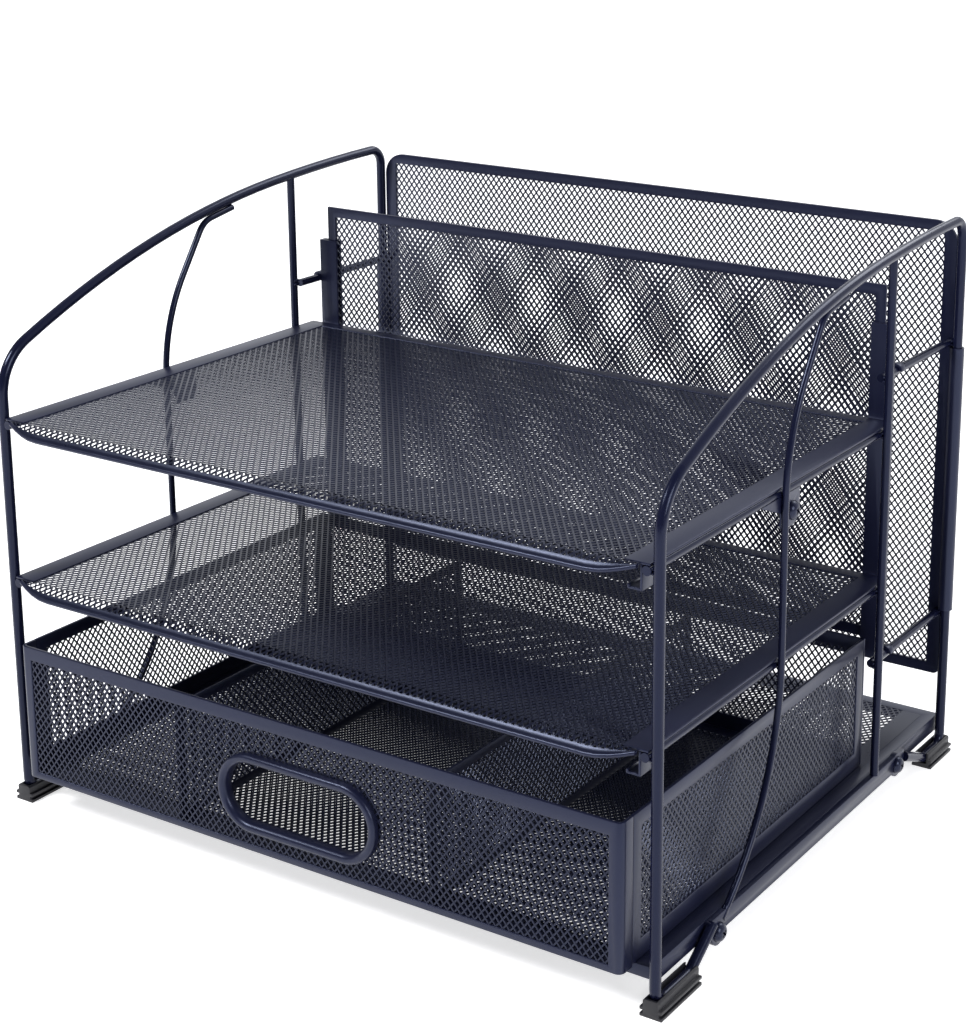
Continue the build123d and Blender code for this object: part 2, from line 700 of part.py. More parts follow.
with BuildPart() as divider_mesh:
    mesh_place = divider_front_y + (panel_t - mesh_t) / 2
    with BuildSketch(Plane(origin=(0, mesh_place, divider_mid_z), x_dir=(1, 0, 0), z_dir=(0, -1, 0))):
        Rectangle(divider_open_w, divider_open_h)
        mesh_openings(divider_open_w, divider_open_h, sheet_pitch_w, sheet_pitch_h)
    extrude(amount=-mesh_t)
save(divider_mesh, "divider_mesh")

# C-shaped channels that grip the divider's edges and hook over the rear rails
channel_mid_y = divider_front_y + panel_t / 2
channel_depth = panel_t + 2 * channel_t
hook_inner_r = rail_r + channel_hook_gap
for side, sx in SIDES:
    with BuildPart() as channel:
        with BuildSketch(Plane.XY.offset(rear_lower_rail_z)):
            with Locations((sx * (channel_outer_x - channel_w / 2), channel_mid_y)):
                Rectangle(channel_w, channel_depth)
            with Locations((sx * (channel_outer_x - channel_t - channel_w / 2), channel_mid_y)):
                Rectangle(channel_w, panel_t, mode=Mode.SUBTRACT)
        extrude(amount=channel_top_z - rear_lower_rail_z)
        with BuildSketch(Plane.XZ.offset(-(channel_mid_y - channel_depth / 2))):
            hook_places = [(sx * rail_x, rear_lower_rail_z), (sx * rail_x, rear_upper_rail_z)]
            with Locations(*hook_places):
                Circle(hook_inner_r + channel_t)
                Circle(hook_inner_r, mode=Mode.SUBTRACT)
            with Locations(*hook_places):
                Rectangle(
                    3 * rail_wire_d,
                    3 * rail_wire_d,
                    align=(Align.CENTER, Align.MAX),
                    mode=Mode.SUBTRACT,
                )
        extrude(amount=-channel_depth)
        # room for the rails
        with BuildSketch(Plane.XZ.offset(-(channel_mid_y - channel_depth / 2))):
            with Locations(*hook_places):
                Circle(hook_inner_r)
        extrude(amount=-channel_depth, mode=Mode.SUBTRACT)
    save(channel, f"{side}_divider_channel")

# ------------------------------------------------------------------ rear panel
rear_half_w = leg_inner_x - sleeve_gap
rear_h = rear_top_z - rear_bottom_z
rear_mid_z = (rear_top_z + rear_bottom_z) / 2
rear_open_w = 2 * (rear_half_w - rear_side_band_w)
rear_open_h = rear_h - 2 * divider_band_w
sleeve_inner_r = outer_r + sleeve_gap
sleeve_bottom_z = rear_lower_rail_z + rail_r + sleeve_gap
sleeve_top_z = rear_upper_rail_z - rail_r - sleeve_gap

with BuildPart() as rear_border:
    with BuildSketch(Plane.XZ.offset(-rear_panel_y)) as rear_outline:
        with Locations((0, rear_mid_z)):
            Rectangle(2 * rear_half_w, rear_h)
        fillet(rear_outline.vertices().group_by(Axis.Y)[-1], rear_corner_r)
        fillet(rear_outline.vertices().group_by(Axis.Y)[0], rear_foot_corner_r)
        with Locations((0, rear_mid_z)):
            Rectangle(rear_open_w, rear_open_h, mode=Mode.SUBTRACT)
    extrude(amount=-panel_t)
    # the sleeves pass through notches in the side bands
    with BuildSketch(Plane.XY.offset(sleeve_bottom_z)):
        with Locations((-half_span, rear_y), (half_span, rear_y)):
            Circle(sleeve_inner_r + sleeve_t)
    extrude(amount=sleeve_top_z - sleeve_bottom_z, mode=Mode.SUBTRACT)
save(rear_border, "rear_panel_border")

with BuildPart() as rear_mesh:
    mesh_place = rear_panel_y + (panel_t - mesh_t) / 2
    with BuildSketch(Plane(origin=(0, mesh_place, rear_mid_z), x_dir=(1, 0, 0), z_dir=(0, -1, 0))):
        Rectangle(rear_open_w, rear_open_h)
        mesh_openings(rear_open_w, rear_open_h, sheet_pitch_w, sheet_pitch_h)
    extrude(amount=-mesh_t)
save(rear_mesh, "rear_panel_mesh")

for side, sx in SIDES:
    with BuildPart() as sleeve:
        with BuildSketch(Plane.XY.offset(sleeve_bottom_z)):
            with Locations((sx * half_span, rear_y)):
                Circle(sleeve_inner_r + sleeve_t)
                Circle(sleeve_inner_r, mode=Mode.SUBTRACT)
        extrude(amount=sleeve_top_z - sleeve_bottom_z)
    save(sleeve, f"{side}_rear_sleeve")

# ------------------------------------------------------------------ screws and nuts
tray_screw_spots = [(sx, screw_y, screw_z, leg_inner_x, ear_t + sheet_t) for _, sx in SIDES]
base_screw_spots = [
    (sx, y, z, bar_inner_x + bar_t, bar_t + sheet_t) for _, sx in SIDES for y, z in base_screws_yz
]

for group, spots in (("tray", tray_screw_spots), ("base", base_screw_spots)):
    with BuildPart() as screws:
        for sx, y, z, seat_x, grip in spots:
            with BuildSketch(Plane.YZ.offset(sx * seat_x)):
                with Locations((y, z)):
                    Circle(screw_d / 2)
            extrude(amount=-sx * (grip + nut_h + screw_tip))
            with BuildSketch(Plane.YZ.offset(sx * seat_x)):
                with Locations((y, z)):
                    Circle(screw_head_d / 2)
            extrude(amount=sx * screw_head_h, taper=26)
    save(screws, f"{group}_screws")

    with BuildPart() as nuts:
        for sx, y, z, seat_x, grip in spots:
            with BuildSketch(Plane.YZ.offset(sx * (seat_x - grip))):
                with Locations((y, z)):
                    RegularPolygon(nut_af / 2, 6, major_radius=False)
                    Circle(screw_d / 2, mode=Mode.SUBTRACT)
            extrude(amount=-sx * nut_h)
    save(nuts, f"{group}_nuts")
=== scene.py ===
"""Looks of the wire and mesh desk organizer: its nets, coats, feet, screws and stage."""

import json
import math

import bmesh
import bpy
from bpy.props import FloatProperty, FloatVectorProperty, IntProperty, PointerProperty
from mathutils import Matrix, Vector


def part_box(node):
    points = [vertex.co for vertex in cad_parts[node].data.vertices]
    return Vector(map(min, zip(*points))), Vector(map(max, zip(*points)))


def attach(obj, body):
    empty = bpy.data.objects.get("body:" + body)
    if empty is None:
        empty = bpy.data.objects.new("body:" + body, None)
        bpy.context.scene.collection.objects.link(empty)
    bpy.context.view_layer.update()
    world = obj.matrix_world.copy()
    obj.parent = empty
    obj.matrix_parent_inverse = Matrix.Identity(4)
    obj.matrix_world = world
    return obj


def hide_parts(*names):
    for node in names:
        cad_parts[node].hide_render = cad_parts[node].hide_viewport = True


bl_info = {
    "name": "Wire and Mesh Desk Organizer",
    "version": (1, 0, 0),
    "blender": (4, 5, 0),
    "location": "View3D > Sidebar > Organizer",
    "description": "Builds the nets, coats, feet, screws and studio stage of a desk organizer",
    "category": "Object",
}

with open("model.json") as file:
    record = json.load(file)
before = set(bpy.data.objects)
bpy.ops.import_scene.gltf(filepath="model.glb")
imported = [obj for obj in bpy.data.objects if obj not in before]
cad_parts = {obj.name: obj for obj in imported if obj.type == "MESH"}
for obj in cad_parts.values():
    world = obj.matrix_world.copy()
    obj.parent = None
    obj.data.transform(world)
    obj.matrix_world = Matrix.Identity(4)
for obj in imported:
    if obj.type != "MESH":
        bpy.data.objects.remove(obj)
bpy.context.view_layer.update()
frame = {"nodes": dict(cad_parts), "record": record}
BODIES = frame["record"]["behaviour"]["bodies"]
BODY_OF = {node: body for body, nodes in BODIES.items() for node in nodes}
MM = 0.001
TINY = 1e-7  # how near a plane a vertex counts as lying on it
MERGE = 1e-6  # vertices this near are one
GRIP = 0.4 * MM  # how far a net reaches into the solid sheet beside it
LAYER_LIFT = 0.12  # rise of the second layer of strands over the first, in strand depths
FALL_SHEET = 0.75 * MM  # thickness of the solid band under a fall's net
HEAD_RADIUS = 4.0 * MM  # of a screw
HEAD_HEIGHT = 2.8 * MM
SHANK_IN_NUT = 4.0 * MM
SIDES = (("left", -1), ("right", 1))
LEVELS = ("upper", "lower")
REBUILT = ("handle_ring", "tray_rim", "rolled_edge")  # sheet that other steps build anew
RAILS = ("upper_tray_rail", "lower_tray_rail", "rear_upper_rail", "rear_lower_rail")

# The camera that was fitted to the photograph, in pixels of the photograph and in millimetres.
# Its shift is smaller than the best fit's, so that other views keep more of the object.
SENSOR = 36.0
PHOTO_SIZE = (966.0, 1024.0)
FOCAL_PIXELS = 2122.41
PRINCIPAL_POINT = (660.0, 320.0)
CAMERA_RIGHT = (0.85798991, 0.51356124, 0.01040002)
CAMERA_FORWARD = (-0.49536578, 0.83260832, -0.24774207)
CAMERA_PLACE = (526.187, -736.844, 450.498)


# ------------------------------------------------------------------ settings
class OrganizerNetSettings(bpy.types.PropertyGroup):
    cell_width: FloatProperty(
        name="Cell Width",
        description="Width of one diamond of the net",
        default=3.3 * MM,
        unit="LENGTH",
    )
    cell_height: FloatProperty(
        name="Cell Height",
        description="Height of one diamond of the net",
        default=4.15 * MM,
        unit="LENGTH",
    )
    strand_width: FloatProperty(
        name="Strand Width",
        description="Width of a strand, seen from the front",
        default=0.7 * MM,
        unit="LENGTH",
    )
    strand_depth: FloatProperty(
        name="Strand Depth", description="Thickness of a strand", default=0.5 * MM, unit="LENGTH"
    )
    base_strip: FloatProperty(
        name="Base Strip",
        description="Solid strip at each side of the base's net",
        default=9 * MM,
        unit="LENGTH",
    )


class OrganizerCoatSettings(bpy.types.PropertyGroup):
    wire_colour: FloatVectorProperty(
        name="Wire Colour",
        description="Coat of the wires",
        subtype="COLOR",
        default=(0.0045, 0.0055, 0.018),
    )
    sheet_colour: FloatVectorProperty(
        name="Sheet Colour",
        description="Coat of the folded sheet",
        subtype="COLOR",
        default=(0.0055, 0.0065, 0.020),
    )
    net_colour: FloatVectorProperty(
        name="Net Colour",
        description="Coat of the nets",
        subtype="COLOR",
        default=(0.0045, 0.0055, 0.016),
    )
    foot_colour: FloatVectorProperty(
        name="Foot Colour",
        description="Moulded plastic of the feet",
        subtype="COLOR",
        default=(0.0040, 0.0040, 0.0075),
    )
    peel_size: FloatProperty(
        name="Peel Size",
        description="Size of the coat's fine ripple",
        default=0.9 * MM,
        unit="LENGTH",
    )


class OrganizerDetailSettings(bpy.types.PropertyGroup):
    sheet_edge: FloatProperty(
        name="Sheet Edge",
        description="Rounding of the folded sheet's edges",
        default=0.35 * MM,
        unit="LENGTH",
    )
    foot_edge: FloatProperty(
        name="Foot Edge",
        description="Rounding of the feet's edges",
        default=0.4 * MM,
        unit="LENGTH",
    )
    fall_band: FloatProperty(
        name="Fall Band",
        description="Solid band at the bottom of a tray's front fall",
        default=2.9 * MM,
        unit="LENGTH",
    )
    fall_corner: FloatProperty(
        name="Fall Corner",
        description="Length over which a fall fades at each end",
        default=20 * MM,
        unit="LENGTH",
    )
    tray_border: FloatProperty(
        name="Tray Border",
        description="Width of a tray's flat side borders",
        default=11 * MM,
        unit="LENGTH",
    )
    tray_sheet: FloatProperty(
        name="Tray Sheet",
        description="Thickness of a tray's borders",
        default=1.1 * MM,
        unit="LENGTH",
    )
    partition_band: FloatProperty(
        name="Partition Band",
        description="Folded band round a drawer partition",
        default=4.0 * MM,
        unit="LENGTH",
    )
    weld_size: FloatProperty(
        name="Weld Size",
        description="Half the length of a weld bead",
        default=2.1 * MM,
        unit="LENGTH",
    )
    head_segments: IntProperty(
        name="Head Segments",
        description="Steps round a screw head",
        default=32,
        min=12,
    )
    ring_width: FloatProperty(
        name="Ring Width",
        description="Width of the handle ring's face",
        default=4.2 * MM,
        unit="LENGTH",
    )
    ring_segments: IntProperty(
        name="Ring Segments",
        description="Steps round the handle ring",
        default=64,
        min=16,
    )


class OrganizerStageSettings(bpy.types.PropertyGroup):
    floor_colour: FloatVectorProperty(
        name="Floor Colour",
        description="Colour of the floor",
        subtype="COLOR",
        default=(0.85, 0.85, 0.86),
    )
    table_glow: FloatProperty(
        name="Table Glow",
        description="Light that the lit white table gives",
        default=0.68,
    )
    room_light: FloatProperty(
        name="Room Light",
        description="Brightness of the room's front half",
        default=0.17,
    )
    wall_light: FloatProperty(
        name="Wall Light",
        description="Brightness of the pale wall behind",
        default=1.1,
    )
    key_power: FloatProperty(
        name="Key Power",
        description="Power of the main soft light",
        default=44.0,
    )
    fill_power: FloatProperty(
        name="Fill Power",
        description="Power of the side and back lights",
        default=16.0,
    )


# ------------------------------------------------------------------ shader maths
class Wire:
    """A socket that can be used in Python expressions; each expression adds its Math nodes."""

    def __init__(self, tree, socket):
        self.tree, self.socket = tree, socket

    def _math(self, operation, a, b=None):
        values = [a] if b is None else [a, b]
        return self.tree.node("ShaderNodeMath", {"operation": operation}, values)

    def __add__(self, other):
        return self._math("ADD", self, other)

    def __radd__(self, other):
        return self._math("ADD", other, self)

    def __sub__(self, other):
        return self._math("SUBTRACT", self, other)

    def __rsub__(self, other):
        return self._math("SUBTRACT", other, self)

    def __mul__(self, other):
        return self._math("MULTIPLY", self, other)

    def __rmul__(self, other):
        return self._math("MULTIPLY", other, self)


class Finish:
    """One material and the nodes that make it."""

    def __init__(self, name):
        self.material = bpy.data.materials.new(name)
        self.material.use_nodes = True
        self.nodes = self.material.node_tree.nodes
        self.links = self.material.node_tree.links
        self.shader = self.nodes["Principled BSDF"]

    def node(self, kind, settings, values, output=0):
        """Add one node: its settings first, then the values or links of its sockets."""
        made = self.nodes.new(kind)
        for key, value in settings.items():
            setattr(made, key, value)
        items = values.items() if isinstance(values, dict) else enumerate(values)
        for key, value in items:
            self.feed(made.inputs[key], value)
        return Wire(self, made.outputs[output])

    def feed(self, socket, value):
        if isinstance(value, Wire):
            self.links.new(value.socket, socket)
        else:
            socket.default_value = value

    def set(self, **sockets):
        for name, value in sockets.items():
            self.feed(self.shader.inputs[name.replace("_", " ")], value)

    def place(self):
        return self.node("ShaderNodeTexCoord", {}, [], output="Object")

    def noise(self, size, detail=2.0, rough=0.5):
        """Noise whose grains are about one size across."""
        return self.node(
            "ShaderNodeTexNoise",
            {"noise_dimensions": "3D"},
            {"Vector": self.place(), "Scale": 1.0 / size, "Detail": detail, "Roughness": rough},
        )

    def mix(self, factor, first, second):
        """A colour between two others."""
        made = self.nodes.new("ShaderNodeMix")
        made.data_type = "RGBA"
        self.feed(made.inputs[0], factor)
        self.feed(made.inputs[6], first)
        self.feed(made.inputs[7], second)
        return Wire(self, made.outputs[2])

    def bump(self, height, distance, strength=1.0):
        inputs = {"Strength": strength, "Distance": distance, "Height": height}
        return self.node("ShaderNodeBump", {}, inputs)


def shade(colour, factor):
    """A colour with its three parts scaled, as four numbers."""
    return (*[min(1.0, part * factor) for part in colour], 1.0)


def powder_coat(name, colour, roughness, sheen, peel, dust):
    """Satin powder coat: a fine ripple, cloudy gloss and a little pale dust."""
    coat = Finish(name)
    ripple = coat.noise(peel, detail=3.0, rough=0.55)
    cloud = coat.noise(28 * MM, detail=3.0)
    speck = coat.noise(0.35 * MM, detail=1.0)
    tone = coat.mix(cloud, shade(colour, 0.8), shade(colour, 1.25))
    coat.set(
        Base_Color=coat.mix(speck * dust, tone, shade(colour, 7.0)),
        Roughness=roughness + (cloud - 0.5) * 0.12 + (ripple - 0.5) * 0.06,
        Specular_IOR_Level=sheen,
        Specular_Tint=(0.62, 0.70, 1.0, 1.0),
        Normal=coat.bump(ripple, 0.05 * MM, 0.35),
    )
    return coat.material


def moulded_plastic(name, colour):
    """Matt moulded plastic with a fine spark-eroded grain."""
    plastic = Finish(name)
    grain = plastic.noise(0.5 * MM, detail=4.0, rough=0.65)
    cloud = plastic.noise(9 * MM, detail=2.0)
    plastic.set(
        Base_Color=plastic.mix(cloud, shade(colour, 0.8), shade(colour, 1.5)),
        Roughness=0.50 + (grain - 0.5) * 0.2,
        Normal=plastic.bump(grain, 0.06 * MM, 0.5),
    )
    return plastic.material


def plated_steel(name):
    """Dull plated steel of the nuts, with a cloudy tarnish."""
    steel = Finish(name)
    cloud = steel.noise(2.5 * MM, detail=4.0)
    steel.set(
        Base_Color=steel.mix(cloud, (0.16, 0.16, 0.17, 1), (0.34, 0.34, 0.35, 1)),
        Metallic=1.0,
        Roughness=0.32 + cloud * 0.2,
    )
    return steel.material


FINISHES = {}


def finish_of(slot):
    """The material of one of the record's slots, made on first use."""
    if slot not in FINISHES:
        coats = bpy.context.scene.organizer_coats
        peel = coats.peel_size
        if slot == "wire":
            FINISHES[slot] = powder_coat("wire_coat", coats.wire_colour, 0.20, 0.27, peel, 0.015)
        elif slot == "sheet":
            FINISHES[slot] = powder_coat("sheet_coat", coats.sheet_colour, 0.32, 0.42, peel, 0.03)
        elif slot == "mesh":
            FINISHES[slot] = powder_coat("net_coat", coats.net_colour, 0.30, 0.36, peel, 0.02)
        elif slot == "foot":
            FINISHES[slot] = moulded_plastic("foot_plastic", coats.foot_colour)
        elif slot == "screw":
            FINISHES[slot] = powder_coat("screw_coat", coats.wire_colour, 0.26, 0.42, peel, 0.0)
        else:
            FINISHES[slot] = plated_steel("nut_steel")
    return FINISHES[slot]


# ------------------------------------------------------------------ mesh helpers
def new_piece(name, bm, body, slot, *nodes):
    """Turn a bmesh into a finished piece that rides on a body and may stand for nodes."""
    data = bpy.data.meshes.new(name)
    bm.to_mesh(data)
    bm.free()
    piece = bpy.data.objects.new(name, data)
    bpy.context.scene.collection.objects.link(piece)
    data.materials.append(finish_of(slot))
    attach(piece, body)
    if nodes:
        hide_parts(*nodes)
    return piece


def extent(node):
    """Size and centre of a CAD node."""
    lo, hi = (Vector(corner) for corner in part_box(node))
    return hi - lo, (lo + hi) / 2


def smooth_by_angle(bm, degrees=35):
    """Shade smooth, but keep the edges that turn by more than an angle sharp."""
    for face in bm.faces:
        face.smooth = True
    for edge in bm.edges:
        if len(edge.link_faces) == 2:
            edge.smooth = edge.calc_face_angle() < math.radians(degrees)


def sharp_edges(bm, degrees=40):
    """The edges that turn by more than an angle."""
    limit = math.radians(degrees)
    inner = [edge for edge in bm.edges if len(edge.link_faces) == 2]
    return [edge for edge in inner if edge.calc_face_angle() > limit]


def round_edges(bm, radius, segments=2, degrees=40):
    """Round every edge that turns by more than an angle."""
    bmesh.ops.bevel(
        bm,
        geom=sharp_edges(bm, degrees),
        offset=radius,
        offset_type="OFFSET",
        segments=segments,
        profile=0.5,
        affect="EDGES",
        clamp_overlap=True,
        material=-1,
    )


def merged_copy(node):
    """A copy of a CAD node's mesh, merged and with its flat faces joined."""
    bm = bmesh.new()
    bm.from_mesh(frame["nodes"][node].data)
    bmesh.ops.remove_doubles(bm, verts=bm.verts, dist=MERGE)
    bmesh.ops.dissolve_limit(bm, angle_limit=math.radians(0.5), verts=bm.verts, edges=bm.edges)
    return bm


def eased(node, radius, slot, segments=2):
    """A copy of a CAD node with its sharp edges rounded, which stands for the node."""
    bm = merged_copy(node)
    if node.endswith("tray_hooks"):
        # the photograph shows no hook at the left
        cut_away(bm, (0, 0, 0), (-1, 0, 0))
    round_edges(bm, radius, segments)
    smooth_by_angle(bm)
    return new_piece(f"{node}_eased", bm, BODY_OF[node], slot, node)


def band_frame(width, height, band, thickness, radius):
    """A flat rectangular frame in the XY plane, centred, with rounded edges."""
    bm = bmesh.new()
    bmesh.ops.create_grid(bm, x_segments=1, y_segments=1, size=0.5)
    bmesh.ops.scale(bm, vec=(width, height, 1), verts=bm.verts)
    middle = bm.faces[:]
    bmesh.ops.inset_individual(bm, faces=middle, thickness=band, use_even_offset=True)
    bmesh.ops.delete(bm, geom=middle, context="FACES")
    bmesh.ops.solidify(bm, geom=bm.faces[:], thickness=thickness)
    bmesh.ops.recalc_face_normals(bm, faces=bm.faces)
    height_now = [vert.co.z for vert in bm.verts]
    bmesh.ops.translate(bm, vec=(0, 0, -(min(height_now) + max(height_now)) / 2), verts=bm.verts)
    round_edges(bm, radius)
    return bm


def join(bm, other, matrix=None):
    """Add a second bmesh to the first, moved by a matrix, and free it."""
    if matrix:
        bmesh.ops.transform(other, matrix=matrix, verts=other.verts)
    data = bpy.data.meshes.new("joined")
    other.to_mesh(data)
    other.free()
    bm.from_mesh(data)
    bpy.data.meshes.remove(data)


def ring_of(bm, radius, height, segments, straight=0.0):
    """A loop of edges in the XY plane; its two halves may be pulled apart along X."""
    made = bmesh.ops.create_circle(bm, cap_ends=False, segments=segments, radius=radius)["verts"]
    half_step = Matrix.Rotation(math.pi / segments, 3, "Z")
    bmesh.ops.rotate(bm, cent=(0, 0, 0), matrix=half_step, verts=made)
    for vert in made:
        vert.co.x += math.copysign(straight, vert.co.x)
        vert.co.z = height
    return list({edge for vert in made for edge in vert.link_edges})


def tube(bm, points, radius, segments=12):
    """A closed tube through points that run roughly along X."""
    loops = []
    turn = Matrix.Rotation(math.radians(90), 3, "Y")
    for point in points:
        circle = bmesh.ops.create_circle(bm, cap_ends=False, segments=segments, radius=radius)
        made = circle["verts"]
        bmesh.ops.rotate(bm, cent=(0, 0, 0), matrix=turn, verts=made)
        bmesh.ops.translate(bm, vec=point, verts=made)
        loops.append(list({edge for vert in made for edge in vert.link_edges}))
    for first, second in zip(loops, loops[1:]):
        bmesh.ops.bridge_loops(bm, edges=first + second)
    bmesh.ops.holes_fill(bm, edges=loops[0] + loops[-1], sides=0)
    bmesh.ops.recalc_face_normals(bm, faces=bm.faces)


def block(bm, lo, hi):
    """Add a box between two corners and return its vertices."""
    lo, hi = Vector(lo), Vector(hi)
    made = bmesh.ops.create_cube(bm, size=1.0)["verts"]
    size = hi - lo
    bmesh.ops.scale(bm, vec=size, verts=made)
    bmesh.ops.translate(bm, vec=(lo + hi) / 2, verts=made)
    return made


def cut_away(bm, point, outward):
    """Cut the mesh with a plane, throw the outer side away and close the cut."""
    geometry = bm.verts[:] + bm.edges[:] + bm.faces[:]
    cut = bmesh.ops.bisect_plane(
        bm, geom=geometry, dist=TINY, plane_co=point, plane_no=outward, clear_outer=True
    )["geom_cut"]
    edges = [item for item in cut if isinstance(item, bmesh.types.BMEdge)]
    bmesh.ops.holes_fill(bm, edges=edges, sides=0)


def crossing(start, way, centre, straight, radius):
    """Where a line enters and leaves a long round-ended hole, or None if it passes by."""
    found = []
    for sign in (-1, 1):
        gap = start - (centre + Vector((sign * straight, 0)))
        along = gap.dot(way)
        inside = along * along - gap.length_squared + radius * radius
        if inside > 0:
            found += [-along - math.sqrt(inside), -along + math.sqrt(inside)]
    for sign in (-1, 1):
        if abs(way.y) > 1e-9:
            length = (centre.y + sign * radius - start.y) / way.y
            if abs(start.x + way.x * length - centre.x) <= straight:
                found.append(length)
    return (min(found), max(found)) if found else None


def flat_net(width, height, settings, hole=None):
    """A net in the XY plane, centred: two layers of slanted strands, cut to a rectangle.

    A hole is a centre, half the length of its straight sides, and its end radius.
    """
    bm = bmesh.new()
    cell_w = width / max(1, round(width / settings.cell_width))
    cell_h = height / max(1, round(height / settings.cell_height))
    slope = math.atan2(cell_h, cell_w)
    pitch = cell_w * math.sin(slope)
    reach = math.hypot(width, height) / 2 + 2 * cell_h
    rows = math.ceil(reach / pitch)
    half_w, half_d = settings.strand_width / 2, settings.strand_depth / 2
    for turn, lift in ((slope, 0.0), (-slope, LAYER_LIFT * settings.strand_depth)):
        matrix = Matrix.Rotation(turn, 3, "Z")
        way = (matrix @ Vector((1, 0, 0))).to_2d()
        strands = []
        for row in range(-rows, rows + 1):
            spans = [(-reach, reach)]
            if hole:
                start = (matrix @ Vector((0, row * pitch, 0))).to_2d()
                met = crossing(start, way, *hole)
                if met:
                    spans = [(-reach, met[0]), (met[1], reach)]
            for first, last in spans:
                strands += block(
                    bm,
                    (first, row * pitch - half_w, lift - half_d),
                    (last, row * pitch + half_w, lift + half_d),
                )
        bmesh.ops.rotate(bm, cent=(0, 0, 0), matrix=matrix, verts=strands)
    for outward, distance in (((1, 0, 0), width / 2), ((0, 1, 0), height / 2)):
        for sign in (1, -1):
            normal = Vector(outward) * sign
            cut_away(bm, normal * distance, normal)
    return bm


def standing(across, centre):
    """Matrix that stands a flat net up, with its own x along X or along Y."""
    if across == "X":
        turn = Matrix.Rotation(math.radians(90), 4, "X")
    else:
        turn = Matrix.Rotation(math.radians(90), 4, "Z") @ Matrix.Rotation(math.radians(90), 4, "X")
    return Matrix.Translation(centre) @ turn


def net_for(node, settings, hole=None):
    """A fine net that fills a CAD node's box."""
    size, centre = extent(node)
    thin = min(range(3), key=lambda axis: size[axis])
    if thin == 2:
        bm = flat_net(size.x, size.y, settings)
        place = Matrix.Translation(centre)
    elif thin == 1:
        bm = flat_net(size.x, size.z, settings, hole)
        place = standing("X", centre)
    else:
        bm = flat_net(size.y, size.z, settings)
        place = standing("Y", centre)
    bmesh.ops.transform(bm, matrix=place, verts=bm.verts)
    return bm


# ------------------------------------------------------------------ operators
class ORGANIZER_OT_coats(bpy.types.Operator):
    """Give every carried-over node the coat of its slot"""

    bl_idname = "organizer.coats"
    bl_label = "Coat the Frame"

    def execute(self, context):
        for entry in frame["record"]["subparts"]:
            node = frame["nodes"][entry["node"]]
            node.data.materials.clear()
            node.data.materials.append(finish_of(entry["material_slot"]))
        return {"FINISHED"}


class ORGANIZER_OT_nets(bpy.types.Operator):
    """Build the fine expanded-metal nets of trays, base, panels and drawer"""

    bl_idname = "organizer.nets"
    bl_label = "Add Nets"

    def execute(self, context):
        settings = context.scene.organizer_nets
        nodes = ["divider_mesh", "rear_panel_mesh", "drawer_floor_mesh", "drawer_back_mesh"]
        nodes += [f"{level}_tray_mesh" for level in LEVELS]
        nodes += [f"drawer_{side}_side_mesh" for side, _ in SIDES]
        for node in nodes:
            new_piece(f"{node}_net", net_for(node, settings), BODY_OF[node], "mesh", node)
        # the base's net has a solid strip along each side, under the drawer's edges
        size, centre = extent("base_mesh")
        strip = settings.base_strip
        bm = flat_net(size.x - 2 * strip, size.y, settings)
        for sign in (-1, 1):
            inner, outer = sorted((sign * (size.x / 2 - strip - GRIP), sign * size.x / 2))
            block(bm, (inner, -size.y / 2, -size.z / 2), (outer, size.y / 2, size.z / 2))
        bmesh.ops.translate(bm, vec=centre, verts=bm.verts)
        new_piece("base_mesh_net", bm, "frame", "mesh", "base_mesh")
        # the drawer front's net stops under the handle ring
        ring_size, ring_centre = extent("drawer_handle_ring")
        _, net_centre = extent("drawer_front_mesh")
        radius = ring_size.z / 2 - 2.0 * MM
        middle = Vector((ring_centre.x - net_centre.x, ring_centre.z - net_centre.z))
        hole = (middle, (ring_size.x - ring_size.z) / 2, radius)
        bm = net_for("drawer_front_mesh", settings, hole)
        new_piece("drawer_front_mesh_net", bm, "drawer", "mesh", "drawer_front_mesh")
        return {"FINISHED"}


class ORGANIZER_OT_partitions(bpy.types.Operator):
    """Build the two drawer partitions: a net in a folded band"""

    bl_idname = "organizer.partitions"
    bl_label = "Add Partitions"

    def execute(self, context):
        details = context.scene.organizer_details
        for side, _ in SIDES:
            node = f"drawer_{side}_partition"
            size, centre = extent(node)
            band = details.partition_band
            bm = band_frame(size.y, size.z, band, size.x, 0.3 * MM)
            net = flat_net(size.y - 2 * band, size.z - 2 * band, context.scene.organizer_nets)
            smooth_by_angle(bm)
            join(bm, net)
            bmesh.ops.transform(bm, matrix=standing("Y", centre), verts=bm.verts)
            new_piece(f"{node}_net", bm, "drawer", "mesh", node)
        return {"FINISHED"}


